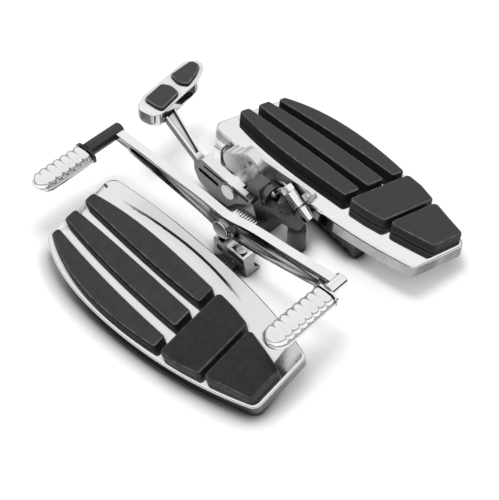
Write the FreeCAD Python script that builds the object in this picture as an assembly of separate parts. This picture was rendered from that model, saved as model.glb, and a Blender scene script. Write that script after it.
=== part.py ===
import FreeCAD, Part
import math
import os

# Pair of motorcycle driver floorboards with their controls, laid out on a table.
# The left board comes with a heel and toe shift lever, the right board with a brake pedal.
#
# Boards and pads are drawn in a board frame: x runs outboard, y forward and z up, z = 0 on the
# deck. The rails under them are drawn in a hinge frame, whose y axis is the folding axis.
# Levers, pedal and brackets stand upright and are drawn straight in the table frame: x to the
# right, y forward, z up from the table. The left board is the mirrored right one.

os.makedirs("parts", exist_ok=True)

Vector = FreeCAD.Vector

# Floorboard
board_rear = 8.0
board_front = 349.0
deck_thickness = 4.0
skirt_depth = 16.0
skirt_wall = 4.0
rim_radius = 3.0
outer_edge = [(74, board_front), (97, 298), (107, 240), (109, 195), (104, 110), (80, board_rear)]
inner_edge = [(0, board_rear), (-24, 110), (-33, 205), (-36, 290), (-33, board_front)]
corner_front_outer = 16.0
corner_rear_outer = 12.0
corner_rear_inner = 9.0
corner_front_inner = 14.0
rib_thickness = 3.0
rib_depth = 8.0
rib_pitch = 48.0
long_rib_places = (24.0, 62.0)

# Rubber pads
pad_height = 12.5
pad_edge_radius = 3.0
pad_corner_radius = 4.5
strip_front = 341.0
outer_strip_front = 338.0
strip_rear = 138.0
inner_strip_edges = ([(1.5, strip_front), (-3.5, 265), (0.5, 194), (6, strip_rear)],
                     [(16.5, strip_front), (24, 258), (28, 200), (30, strip_rear)])
middle_strip_edges = ([(30, strip_front), (34, 255), (38, 194), (42, strip_rear)],
                      [(48, strip_front), (60, 258), (65, 200), (68, strip_rear)])
outer_strip_edges = ([(60, outer_strip_front), (70, 274), (77.5, 205), (82, strip_rear)],
                     [(71, outer_strip_front), (89.5, 298), (102, 232), (103, 180), (100, strip_rear)])
wide_block_corners = [(5, 131, 6), (100, 131, 6), (99.5, 106, 20), (93, 78, 6), (15, 78, 6), (9, 102, 30)]
heel_block_corners = [(17, 73.5, 6), (92, 73.5, 6), (86, 48, 30), (79, 14, 6), (34, 14, 6), (25, 44, 30)]

# Folding hinge under each board, placed in the board frame
hinge_x = -6.0
hinge_z = -12.0
hinge_centres = (112.0, 300.0)
hinge_pin_radius = 4.0
hinge_clearance = 0.05
lug_radius = 7.5
lug_width = 16.0
ear_width = 6.0
ear_gap = 0.4
pin_head_radius = 6.5
pin_head_height = 3.0

# Rail that carries the hinge ears, placed in the hinge frame
rail_half_width = 9.0
rail_top = -8.6
rail_overhang = 8.0
rail_table_gap = 3.0
scallop_pitch = 16.0
scallop_radius = 6.0
scallop_rise = 4.0

# How the boards stand on the table
left_roll = 12.7
left_pitch = 0.9
left_yaw = 0.0
left_place = (2.8, 0.2)
right_roll = 8.6
right_pitch = -3.5
right_yaw = -9.9
right_place = (168.6, -9.2)

# Arms from the rails to the brackets
arm_bottom = 3.0
arm_top = 7.5
nose_radius = 8.0
nose_width = 12.0
nose_bore_radius = 4.2
left_nose = (30.0, 340.0, 11.0)
right_nose = (173.0, 302.0, 30.0)
left_nose_station = 326.0
right_nose_station = 305.0
casting_station = 245.0
cross_arm_width = 24.0

# Shift lever
lever_face = 65.0
lever_thickness = 11.5
lever_pivot = (195.3, 48.0)
lever_hub_radius = 13.7
lever_hub_width = 16.0
lever_hub_proud = 1.5
lever_top = [(366, 82), (318, 80), (262, 76), (217, 72.5), (192, 69.5), (160, 75), (108, 80), (62, 84), (29, 86)]
lever_bottom = [(348, 67), (310, 61.5), (262, 54), (222, 47.4), (195, 41), (165, 43.5), (140, 46), (90, 54),
                (55, 60), (29, 68)]
pocket_rim = 4.0
pocket_depth = 5.0
pocket_hub_gap = 5.0
pocket_toe_end = 346.0
pivot_radius = 6.0
pivot_clearance = 0.06
pivot_cap_height = 2.0
pivot_cap_inset = 2.5
cap_gap = 0.3

# Pegs at the two ends of the shift lever
toe_eye = (377.5, 78.0)
toe_eye_radius = 6.0
heel_eye = (30.0, 77.0)
heel_eye_radius = 9.5
heel_eye_inboard = 80.5
heel_eye_outboard = 57.5
sleeve_radius = 9.0
sleeve_inboard = 79.0
sleeve_outboard = 25.0
toe_peg_length = 82.0
heel_peg_length = 90.0
peg_root_width = 31.0
peg_tip_width = 24.0
peg_plate = 4.0
peg_plate_lip = 2.2
peg_dome = 8.5
peg_below_axis = 7.0
peg_rib_pitch = 12.4
peg_groove_radius = 3.4
peg_groove_lift = 1.6
peg_flange = 3.0
peg_stud_radius = 3.5
peg_stud_reach = 20.0

# Left frame mount
mount_outer = 61.2
mount_inner = 83.0
mount_rear_foot = 151.8
mount_rear_top = 157.5
mount_front = 205.0
mount_rear_height = 25.0
mount_front_height = 32.0
mount_web = 76.5
mount_slot_height = 9.0
mount_slot_low = 7.0
mount_slot_depth = 5.0
mount_screw = (mount_outer + 10.3, mount_rear_top + 12.5)
screw_radius = 4.0
screw_head_radius = 6.5
screw_head_height = 7.0
screw_length = 16.0
screw_pocket_depth = 6.0
screw_pocket_half = 9.0
screw_pocket_wall = 3.0
post_width = 9.0
post_radius = 9.0
post_gap = 0.4

# Brake pedal
pedal_face = 122.0
pedal_web = 7.4
pedal_thickness = 13.0
pedal_pivot = (239.0, 36.0)
pedal_boss_radius = 13.0
pedal_boss_proud = 1.0
pedal_boss_back = 2.0
pedal_pivot_radius = 5.5
pivot_stand_radius = 11.5
pedal_plate = [(298, 48, 4), (298, 34, 5), (291, 19, 12), (270, 8, 16), (242, 7, 5),
               (228, 23, 8), (203, 37, 3), (203, 45, 2), (248, 50, 60), (284, 58, 4)]
pedal_thick_rear = 224.0
pedal_slot = [(290, 42, 2), (290, 36, 2), (257, 30, 2), (257, 36, 2)]
pedal_groove = [(281, 51, 1), (281, 47.5, 1), (208, 38, 1), (208, 42, 1)]
pedal_slot_depth = 4.0
pedal_groove_depth = 2.0
arm_foot = (292.0, 48.0)
arm_foot_width = 10.0
arm_head_width = 19.0
arm_depth = 9.0
arm_channel_depth = 3.0
arm_flange = 2.5
head_height = 105.0
head_depth = 24.0
arm_head = (350.0, head_height - 7.7)
head_corners = [(101, 336, 14), (180, 348, 60), (205, 361, 16), (212, 376, 12), (197, 388, 16),
                (118, 377.5, 40), (96, 368, 14)]
head_keel_radius = 11.0
head_rim_radius = 1.5
insert_left = [(113, 370, 5), (146, 375, 5), (152, 363, 16), (149, 348, 5), (115, 341, 5), (113, 352, 12)]
insert_right = [(165, 379, 4), (201, 380, 6), (203, 367, 7), (188, 358, 30), (168, 351, 5), (161, 362, 14)]
insert_recess = 2.0
insert_height = 5.5
insert_edge_radius = 1.5

# Return spring beside the pedal
spring_centre = (117.8, 12.5)
spring_start = 188.0
spring_end = 225.0
spring_radius = 9.5
spring_wire = 2.4
spring_pitch = 4.1
spring_seat_thickness = 5.0
spring_seat_half = 8.0

# Right support casting
casting_face = 152.0
casting_arm_face = 162.0
casting_back = 168.0
casting_front_eye = (262.0, 46.0)
casting_front_radius = 16.0
casting_boss = (238.0, 54.0)
casting_boss_radius = 21.0
casting_recess = (236.0, 54.0)
casting_recess_radius = 15.5
casting_recess_depth = 7.0
casting_stem = (226.0, 258.0)
casting_rear_eye = (150.0, 60.0)
casting_rear_radius = 9.0
casting_bore_radius = 4.2
casting_bolt_radius = 6.0
casting_bolt_height = 5.0
casting_bolt_offset = (-3.0, 7.0)

# Right frame mount with its round boss
block_left = 130.2
block_right = 151.6
block_foot_rear = 181.0
block_foot_front = 199.5
block_height = 60.0
block_lean = 18.5
ring_centre = (146.0, 42.0)
ring_radius = 15.0
ring_wall = 2.5
ring_depth = 9.0
ring_root = 12.0

# Sloping fitting behind the boss
fitting_x = 153.0
fitting_top = (178.0, 64.0)
fitting_fall = 36.0
ball_radius = 6.0
ball_offset = (2.0, 5.0)
ball_stem_radius = 3.5
nut_width = 15.0
nut_height = 8.0
barrel_radius = 8.3
barrel_length = 21.0
barrel_chamfer = 1.0
barrel_waist = 2.0
barrel_waist_radius = 6.0
cap_length = 17.0
cap_end_radius = 6.5
cap_wall = 2.0

# Rubber foot and its carrier
foot_place = (136.0, 143.0)
foot_radius = 11.0
foot_height = 34.0
foot_edge = 2.0
carrier_thickness = 6.0
carrier_half_width = 8.0
boss_place = (145.0, 168.0)
boss_radius = 9.0
boss_drop = 6.0
boss_rise = 1.0


# Drawing helpers


def corner_wire(corners):
    """Closed wire through corners given as x, y and corner radius."""
    starts = []
    ends = []
    middles = []
    for i, corner in enumerate(corners):
        here = Vector(corner[0], corner[1], 0)
        before = corners[i - 1]
        after = corners[(i + 1) % len(corners)]
        to_before = (Vector(before[0], before[1], 0) - here).normalize()
        to_after = (Vector(after[0], after[1], 0) - here).normalize()
        half = to_before.getAngle(to_after) / 2
        reach = corner[2] / math.tan(half)
        bisector = (to_before + to_after).normalize()
        starts.append(here + to_before * reach)
        ends.append(here + to_after * reach)
        middles.append(here + bisector * (corner[2] / math.sin(half) - corner[2]))
    edges = []
    for i in range(len(corners)):
        edges.append(Part.Arc(starts[i], middles[i], ends[i]).toShape())
        edges.append(Part.LineSegment(ends[i], starts[(i + 1) % len(corners)]).toShape())
    return Part.Wire(edges)


def curve(points):
    """Smooth edge through a few points in the xy plane."""
    spline = Part.BSplineCurve()
    spline.interpolate([Vector(x, y, 0) for x, y in points])
    return spline.toShape()


def line(a, b):
    return Part.LineSegment(Vector(a[0], a[1], 0), Vector(b[0], b[1], 0)).toShape()


def outline(points):
    return Part.makePolygon([Vector(x, y, 0) for x, y in points + points[:1]])


def slab(wire, bottom, top):
    """Solid between two heights over a closed wire in the xy plane."""
    face = Part.Face(wire)
    face.translate(Vector(0, 0, bottom))
    return face.extrude(Vector(0, 0, top - bottom))


def side_slab(wire, start_x, end_x):
    """Solid between two x planes over a closed wire drawn as y and z."""
    solid = slab(wire, start_x, end_x)
    solid.Placement = FreeCAD.Placement(Vector(0, 0, 0), FreeCAD.Rotation(Vector(1, 1, 1), 120))
    return solid


def rod(radius, start, end):
    """Round bar between two points."""
    return Part.makeCylinder(radius, (end - start).Length, start, end - start)


def cross_rod(radius, start_x, end_x, eye):
    """Round bar lying across the bike at a point given as y and z."""
    return rod(radius, Vector(start_x, eye[0], eye[1]), Vector(end_x, eye[0], eye[1]))


def box(x0, x1, y0, y1, z0, z1):
    return Part.makeBox(x1 - x0, y1 - y0, z1 - z0, Vector(x0, y0, z0))


def fuse_all(shapes):
    return shapes[0].multiFuse(shapes[1:]).removeSplitter()


def cut_all(shape, tools):
    for tool in tools:
        shape = shape.cut(tool)
    return shape.removeSplitter()


def upright_edges(shape, height):
    """Straight edges that stand upright over the whole height."""
    found = []
    for edge in shape.Edges:
        bounds = edge.BoundBox
        if bounds.XLength < 0.01 and bounds.YLength < 0.01 and abs(bounds.ZLength - height) < 0.01:
            found.append(edge)
    return found


def level_edges(shape, height):
    """Edges that lie flat at one height."""
    found = []
    for edge in shape.Edges:
        bounds = edge.BoundBox
        if abs(bounds.ZMin - height) < 0.01 and abs(bounds.ZMax - height) < 0.01:
            found.append(edge)
    return found


def rim_edges(shape, x):
    """Edges that lie in one x plane."""
    found = []
    for edge in shape.Edges:
        bounds = edge.BoundBox
        if abs(bounds.XMin - x) < 0.01 and abs(bounds.XMax - x) < 0.01:
            found.append(edge)
    return found


def hexagon(across_flats):
    radius = across_flats / math.sqrt(3)
    angles = [math.radians(60 * i) for i in range(6)]
    return outline([(radius * math.cos(a), radius * math.sin(a)) for a in angles])


# Floorboard


def board_block(inset, bottom, top):
    """Solid with the deck's outline, drawn in by an inset, with rounded corners."""
    outer = [(x - inset, y) for x, y in outer_edge]
    inner = [(x + inset, y) for x, y in inner_edge]
    outer[0] = (outer[0][0], board_front - inset)
    outer[-1] = (outer[-1][0], board_rear + inset)
    inner[0] = (inner[0][0], board_rear + inset)
    inner[-1] = (inner[-1][0], board_front - inset)
    wire = Part.Wire([line(inner[-1], outer[0]), curve(outer), line(outer[-1], inner[0]), curve(inner)])
    block = slab(wire, bottom, top)
    corners = [(outer[0], corner_front_outer), (outer[-1], corner_rear_outer),
               (inner[0], corner_rear_inner), (inner[-1], corner_front_inner)]
    for corner, radius in corners:
        here = Vector(corner[0], corner[1], 0)
        for edge in upright_edges(block, top - bottom):
            foot = edge.Vertexes[0].Point
            if (Vector(foot.x, foot.y, 0) - here).Length < 0.1:
                block = block.makeFillet(radius - inset, [edge])
                break
    return block


def board_ribs(hollow):
    """Lattice of ribs under the deck, clear of the hinge lugs."""
    low = -deck_thickness - rib_depth
    bars = []
    for x in long_rib_places:
        bars.append(box(x, x + rib_thickness, board_rear, board_front, low, -deck_thickness))
    y = board_rear + rib_pitch / 2
    while y < board_front - rib_thickness:
        if min(abs(y - centre) for centre in hinge_centres) > lug_width + ear_width:
            bars.append(box(hollow.BoundBox.XMin, hollow.BoundBox.XMax, y, y + rib_thickness, low,
                            -deck_thickness))
        y += rib_pitch
    return fuse_all(bars).common(hollow)


def board():
    """Cast deck with a rounded rim, a skirt all round, ribs below and two hinge lugs."""
    block = board_block(0, -skirt_depth, 0)
    block = block.makeFillet(rim_radius, level_edges(block, 0))
    hollow = board_block(skirt_wall, -skirt_depth, -deck_thickness)
    pieces = [block.cut(hollow), board_ribs(hollow)]
    bores = []
    for centre in hinge_centres:
        start = Vector(hinge_x, centre - lug_width / 2, hinge_z)
        end = Vector(hinge_x, centre + lug_width / 2, hinge_z)
        pieces.append(rod(lug_radius, start, end))
        pieces.append(box(hinge_x - lug_radius, hinge_x + lug_radius, start.y, end.y, hinge_z, -deck_thickness))
        bores.append(rod(hinge_pin_radius + hinge_clearance, start, end))
    return cut_all(fuse_all(pieces), bores)


def rounded_pad(solid):
    return solid.makeFillet(pad_edge_radius, level_edges(solid, pad_height))


def strip_pad(edges):
    """Long leaf shaped rubber strip."""
    inner, outer = edges
    wire = Part.Wire([line(inner[0], outer[0]), curve(outer), line(outer[-1], inner[-1]), curve(inner[::-1])])
    solid = slab(wire, 0, pad_height)
    return rounded_pad(solid.makeFillet(pad_corner_radius, upright_edges(solid, pad_height)))


def block_pad(corners):
    return rounded_pad(slab(corner_wire(corners), 0, pad_height))


# Hinge, drawn in the hinge frame


def hinge_reach():
    """Distance from a hinge's middle to the outside of its ears."""
    return lug_width / 2 + ear_gap + ear_width


def hinge_pins():
    """Two headed pins that the board folds on."""
    solids = []
    for centre in hinge_centres:
        start = centre - hinge_reach()
        shank = rod(hinge_pin_radius, Vector(0, start, 0), Vector(0, centre + hinge_reach(), 0))
        head = rod(pin_head_radius, Vector(0, start - pin_head_height, 0), Vector(0, start, 0))
        solids.append(shank.fuse(head).removeSplitter())
    return Part.makeCompound(solids)


def rail(side):
    """Tapered rail under the inner edge, with two pairs of ears and a scalloped lower edge."""
    start = hinge_centres[0] - hinge_reach() - rail_overhang
    end = hinge_centres[1] + hinge_reach() + rail_overhang
    low_start = rail_table_gap - rail_point(side, start).z
    low_end = rail_table_gap - rail_point(side, end).z
    profile = corner_wire([(start, rail_top, 2), (start, low_start, 3), (end, low_end, 1), (end, rail_top, 1)])
    pieces = [side_slab(profile, -rail_half_width, rail_half_width)]
    cutters = []
    for centre in hinge_centres:
        for direction in (-1, 1):
            near = centre + direction * (lug_width / 2 + ear_gap)
            far = centre + direction * hinge_reach()
            pieces.append(rod(lug_radius, Vector(0, near, 0), Vector(0, far, 0)))
            pieces.append(box(-lug_radius, lug_radius, min(near, far), max(near, far), rail_top - 1, 0))
        cutters.append(rod(hinge_pin_radius, Vector(0, centre - hinge_reach(), 0),
                           Vector(0, centre + hinge_reach(), 0)))
    slope = (low_end - low_start) / (end - start)
    y = start + scallop_pitch
    while y < hinge_centres[1] - hinge_reach():
        low = low_start + slope * (y - start)
        cutters.append(cross_rod(scallop_radius, -rail_half_width - 1, rail_half_width + 1,
                                 (y, low - scallop_radius + scallop_rise)))
        y += scallop_pitch
    return cut_all(fuse_all(pieces), cutters)


def rail_point(side, y):
    """Table point of the folding axis at a station along the rail."""
    return hinge_placement(side).multVec(Vector(0, y, 0))


def nose_arm(side, nose, station):
    """Arm from the rail to the front mounting eye, whose hole faces forward."""
    x, y, z = nose
    target = rail_point(side, station)
    rear = Vector(x, y - nose_width / 2, z)
    front = Vector(x, y + nose_width / 2, z)
    eye = rod(nose_radius, rear, front)
    riser = box(x - nose_radius, x + nose_radius, rear.y, front.y, arm_bottom, z)
    beam = box(x - nose_radius, x + nose_radius, min(target.y - nose_radius, rear.y), front.y, arm_bottom, arm_top)
    link = box(min(x - nose_radius, target.x), max(x + nose_radius, target.x), target.y - nose_radius,
               target.y + nose_radius, arm_bottom, arm_top)
    return fuse_all([eye, riser, beam, link]).cut(rod(nose_bore_radius, rear, front))


def cross_arm(side, station, far_x, y0, y1):
    """Flat arm over the table from the rail to a bracket."""
    target = rail_point(side, station)
    return box(min(far_x, target.x), max(far_x, target.x), y0, y1, arm_bottom, arm_top)


def left_support():
    middle = (mount_rear_top + mount_front) / 2
    return fuse_all([on_hinge(rail("left"), "left"), nose_arm("left", left_nose, left_nose_station),
                     cross_arm("left", middle, mount_outer + 0.5, middle - cross_arm_width / 2,
                               middle + cross_arm_width / 2)])


def right_support():
    stem_rear = casting_stem[0]
    return fuse_all([on_hinge(rail("right"), "right"), nose_arm("right", right_nose, right_nose_station),
                     cross_arm("right", casting_station, casting_face, stem_rear, stem_rear + cross_arm_width),
                     cross_arm("right", block_foot_rear, block_left + 10, block_foot_rear + 3, block_foot_front - 3)])


# Shift lever, drawn on the table


def lever_profile(inset):
    """Closed side outline of the lever as y and z, a shallow bow from toe to heel."""
    top = [(y, z - inset) for y, z in lever_top]
    low = [(y, z + inset) for y, z in lever_bottom]
    return Part.Wire([curve(top), line(top[-1], low[-1]), curve(low), line(low[0], top[0])])


def lever_pocket(y0, y1):
    """Long hollow in the outboard face between two stations."""
    plan = side_slab(lever_profile(pocket_rim), lever_face - 1, lever_face + pocket_depth)
    return plan.common(box(lever_face - 1, lever_face + pocket_depth, y0, y1, 0, 120))


def shift_lever():
    """One-piece lever: pivot hub, toe neck, heel barrel and a hollow along each arm."""
    inner_face = lever_face + lever_thickness
    bow = side_slab(lever_profile(0), lever_face, inner_face)
    hub_start = lever_face - lever_hub_proud
    hub_end = hub_start + lever_hub_width
    hub = cross_rod(lever_hub_radius, hub_start, hub_end, lever_pivot)
    neck = side_slab(outline([(352, 70), (toe_eye[0], toe_eye[1] - toe_eye_radius + 1),
                              (toe_eye[0], toe_eye[1] + toe_eye_radius - 1), (360, 81.5)]), lever_face, inner_face)
    toe = cross_rod(toe_eye_radius, lever_face, inner_face, toe_eye)
    heel = cross_rod(heel_eye_radius, heel_eye_outboard, heel_eye_inboard, heel_eye)
    clear = lever_hub_radius + pocket_hub_gap
    cutters = [lever_pocket(lever_pivot[0] + clear, pocket_toe_end),
               lever_pocket(heel_eye[0] + clear, lever_pivot[0] - clear),
               cross_rod(pivot_radius + pivot_clearance, hub_start, hub_end, lever_pivot),
               cross_rod(peg_stud_radius, lever_face, inner_face, toe_eye),
               cross_rod(peg_stud_radius, heel_eye_outboard, heel_eye_inboard, heel_eye)]
    return cut_all(fuse_all([bow, hub, neck, toe, heel]), cutters)


def peg(root, length, eye):
    """Foot peg that points outboard: lipped plate, domed and ribbed top, round tip."""
    half = peg_root_width / 2
    tip_half = peg_tip_width / 2
    y, z = eye
    low = z - peg_below_axis
    seam = low + peg_plate
    lip = peg_plate_lip
    base = corner_wire([(root, y - half, 1), (root, y + half, 1), (root - length, y + tip_half, tip_half - 1),
                        (root - length, y - tip_half, tip_half - 1)])
    plate = slab(base, low, seam)
    crown_tip = tip_half - lip
    crown_base = corner_wire([(root, y - half + lip, 1), (root, y + half - lip, 1),
                              (root - length + lip, y + crown_tip, crown_tip - 1),
                              (root - length + lip, y - crown_tip, crown_tip - 1)])
    crown = slab(crown_base, seam, seam + peg_dome)
    tube_radius = half + 2
    centre = seam + peg_dome - tube_radius
    crown = crown.common(rod(tube_radius, Vector(root, y, centre), Vector(root - length, y, centre)))
    for i in range(int(length / peg_rib_pitch)):
        ring = Vector(root - peg_rib_pitch * (i + 0.5), y, centre)
        crown = crown.cut(Part.makeTorus(tube_radius + peg_groove_lift, peg_groove_radius, ring, Vector(1, 0, 0)))
    body = fuse_all([plate, crown])
    return body.cut(cross_rod(peg_stud_radius, root - peg_stud_reach, root, eye))


def peg_collar(root, eye):
    """Flange between a peg and what carries it, with a round top."""
    half = peg_root_width / 2 + 1
    y, z = eye
    low = z - peg_below_axis - 1
    profile = corner_wire([(y - half, low, 2), (y - half, z + 1, 4), (y - half + 5, z + 6.5, 12),
                           (y + half - 5, z + 6.5, 12), (y + half, z + 1, 4), (y + half, low, 2)])
    collar = side_slab(profile, root, root + peg_flange)
    return collar.cut(cross_rod(peg_stud_radius, root, root + peg_flange, eye))


def toe_sleeve(lever):
    """Rubber sleeve that wraps the lever's toe eye and ends in a flange at the peg."""
    tube = cross_rod(sleeve_radius, sleeve_outboard, sleeve_inboard, toe_eye)
    tube = tube.makeFillet(3.0, rim_edges(tube, sleeve_inboard))
    tube = tube.cut(cross_rod(peg_stud_radius, sleeve_outboard, sleeve_inboard, toe_eye))
    collar = peg_collar(sleeve_outboard - peg_flange, toe_eye)
    return fuse_all([tube, collar]).cut(lever).removeSplitter()


def toe_stud():
    root = sleeve_outboard - peg_flange
    return cross_rod(peg_stud_radius, root - peg_stud_reach, sleeve_inboard - 1, toe_eye)


def heel_stud():
    """Bolt with a domed head through the heel barrel into the peg."""
    root = heel_eye_outboard - peg_flange
    head_end = heel_eye_inboard + 2.5
    head = cross_rod(heel_eye_radius - 1.5, heel_eye_inboard, head_end, heel_eye)
    head = head.makeFillet(1.5, rim_edges(head, head_end))
    return fuse_all([head, cross_rod(peg_stud_radius, root - peg_stud_reach, heel_eye_inboard, heel_eye)])


def pivot_bolt(face, width, seat, eye, radius, cap_radius):
    """Shouldered pivot: wide cap outside the hub, running shoulder inside it, thinner tail beyond."""
    cap_end = face - cap_gap
    hub_end = face + width + post_gap
    cap = cross_rod(cap_radius, cap_end - pivot_cap_height, cap_end, eye)
    cap = cap.makeFillet(1.0, rim_edges(cap, cap_end - pivot_cap_height))
    return fuse_all([cap, cross_rod(radius, cap_end, hub_end, eye), cross_rod(radius - 1, hub_end, seat, eye)])


def shift_pivot_bolt():
    face = lever_face - lever_hub_proud
    seat = face + lever_hub_width + post_gap + post_width
    return pivot_bolt(face, lever_hub_width, seat, lever_pivot, pivot_radius, lever_hub_radius - pivot_cap_inset)


def screw_seat():
    """Height of the pocket floor that the mount's screw sits on."""
    return mount_rear_height - screw_pocket_depth


def left_mount():
    """Machined block with an undercut back, a side slot, a screw pocket and the lever's pivot post."""
    top = mount_front_height
    profile = corner_wire([(mount_outer, 0, 1), (mount_outer, top, 1.5), (mount_web, top + 3, 1.5),
                           (mount_inner, top - 10, 1.5), (mount_web, top - 17, 3), (mount_web - 1.5, 6, 3),
                           (mount_inner, 2.5, 1), (mount_inner, 0, 0.5)])
    block = Part.Face(profile).extrude(Vector(0, 0, mount_front - mount_rear_foot))
    block.Placement = FreeCAD.Placement(Vector(0, mount_front, 0), FreeCAD.Rotation(Vector(1, 0, 0), 90))
    keep = side_slab(corner_wire([(mount_rear_foot, 0, 0.5), (mount_rear_top, mount_rear_height, 2),
                                  (mount_front, top, 3), (mount_front, 0, 0.5)]), mount_outer - 1, mount_inner + 1)
    slot_rise = top - mount_rear_height
    low = mount_slot_low
    high = low + mount_slot_height
    slot = side_slab(corner_wire([(mount_rear_foot + 4, low, 3), (mount_rear_foot + 4, high, 3),
                                  (mount_front - 5, high + slot_rise, 3), (mount_front - 5, low + slot_rise, 3)]),
                     mount_outer - 1, mount_outer + mount_slot_depth)
    screw_x, screw_y = mount_screw
    seat = screw_seat()
    pocket = box(mount_outer + screw_pocket_wall, mount_inner + 1, screw_y - screw_pocket_half,
                 screw_y + screw_pocket_half, seat, top + 5)
    hub_end = lever_face - lever_hub_proud + lever_hub_width + post_gap
    post_end = hub_end + post_width
    y0 = lever_pivot[0] - post_radius
    y1 = lever_pivot[0] + post_radius
    post = cross_rod(post_radius, hub_end, post_end, lever_pivot)
    stem = box(hub_end, post_end, y0, y1, arm_bottom, lever_pivot[1])
    tie = box(mount_web - 2, post_end, y0, y1, arm_bottom, mount_rear_height - 1)
    body = fuse_all([cut_all(block.common(keep), [slot, pocket]), post, stem, tie])
    screw_hole = rod(screw_radius, Vector(screw_x, screw_y, seat - screw_length), Vector(screw_x, screw_y, seat))
    return cut_all(body, [screw_hole, cross_rod(pivot_radius - 1, hub_end, post_end, lever_pivot)])


def cap_screw(x, y, seat):
    """Socket cap screw standing upright on a seat."""
    top = seat + screw_head_height
    head = rod(screw_head_radius, Vector(x, y, seat), Vector(x, y, top))
    head = head.makeFillet(1.0, level_edges(head, top))
    shank = rod(screw_radius, Vector(x, y, seat - screw_length), Vector(x, y, seat))
    socket = slab(hexagon(6.0), top - 3.5, top + 1)
    socket.translate(Vector(x, y, 0))
    return cut_all(fuse_all([head, shank]), [socket])


# Brake pedal, drawn on the table


def brake_pedal():
    """Cast pedal: deep slotted plate, channelled arm and a deep cup under the inserts."""
    face = pedal_face
    web = side_slab(corner_wire(pedal_plate), face, face + pedal_web)
    full = side_slab(corner_wire(pedal_plate), face, face + pedal_thickness)
    full = full.common(box(face, face + pedal_thickness, pedal_thick_rear, arm_head[0], 0, head_height))
    boss_start = face - pedal_boss_proud
    boss_end = face + pedal_thickness + pedal_boss_back
    boss = cross_rod(pedal_boss_radius, boss_start, boss_end, pedal_pivot)
    body = fuse_all([web, full, boss, pedal_arm(), pedal_head()])
    slot = side_slab(corner_wire(pedal_slot), face - 0.1, face + pedal_slot_depth)
    groove = side_slab(corner_wire(pedal_groove), face - 0.1, face + pedal_groove_depth)
    bore = cross_rod(pedal_pivot_radius + pivot_clearance, boss_start, boss_end, pedal_pivot)
    return cut_all(body, [slot, groove, bore])


def arm_section(at, along, width, depth, lift):
    """Rectangle across the arm, lifted towards its rear side."""
    across = Vector(1, 0, 0)
    rear = across.cross(along)
    points = []
    for a, b in ((-1, -1), (1, -1), (1, 1), (-1, 1), (-1, -1)):
        points.append(at + across * (a * width / 2) + rear * (b * depth / 2 + lift))
    return Part.makePolygon(points)


def pedal_arm():
    """Arm that widens upwards to the head, with a channel between two flanges on its rear side."""
    middle = pedal_face + arm_foot_width / 2
    foot = Vector(middle, arm_foot[0], arm_foot[1])
    head = Vector(middle, arm_head[0], arm_head[1])
    along = (head - foot).normalize()
    outer = Part.makeLoft([arm_section(foot, along, arm_foot_width, arm_depth, 0),
                           arm_section(head, along, arm_head_width, arm_depth, 0)], True)
    cut_depth = 2 * arm_channel_depth
    low = arm_section(foot + along * 10, along, arm_foot_width - 2 * arm_flange, cut_depth, arm_depth / 2)
    high = arm_section(head, along, arm_head_width - 2 * arm_flange, cut_depth, arm_depth / 2)
    return outer.cut(Part.makeLoft([low, high], True))


def pedal_head():
    """Deep rounded cup with shallow seats for the two inserts."""
    low = head_height - head_depth
    cup = slab(corner_wire(head_corners), low, head_height)
    cup = cup.makeFillet(head_keel_radius, level_edges(cup, low))
    cup = cup.makeFillet(head_rim_radius, level_edges(cup, head_height))
    seats = [slab(corner_wire(corners), head_height - insert_recess, head_height + 1)
             for corners in (insert_left, insert_right)]
    return cut_all(cup, seats)


def pedal_insert(corners):
    """Rubber insert that fills its seat and stands a little proud."""
    low = head_height - insert_recess
    solid = slab(corner_wire(corners), low, low + insert_height)
    return solid.makeFillet(insert_edge_radius, level_edges(solid, low + insert_height))


def pedal_boss_width():
    return pedal_boss_proud + pedal_thickness + pedal_boss_back


def brake_pivot_bolt():
    return pivot_bolt(pedal_face - pedal_boss_proud, pedal_boss_width(), casting_back, pedal_pivot,
                      pedal_pivot_radius, pivot_stand_radius - 1)


def return_spring():
    """Close-wound spring beside the pedal, drawn as a ridged round bar."""
    x, z = spring_centre
    valley = spring_radius - spring_wire
    points = [Vector(x, spring_start, z), Vector(x + valley, spring_start, z)]
    y = spring_start
    while y + spring_pitch <= spring_end:
        points.append(Vector(x + spring_radius, y + spring_pitch * 0.3, z))
        points.append(Vector(x + spring_radius, y + spring_pitch * 0.7, z))
        points.append(Vector(x + valley, y + spring_pitch, z))
        y += spring_pitch
    points.append(Vector(x, y, z))
    face = Part.Face(Part.makePolygon(points + points[:1]))
    return face.revolve(Vector(x, spring_start, z), Vector(0, 1, 0), 360)


# Right brackets, drawn on the table


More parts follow.
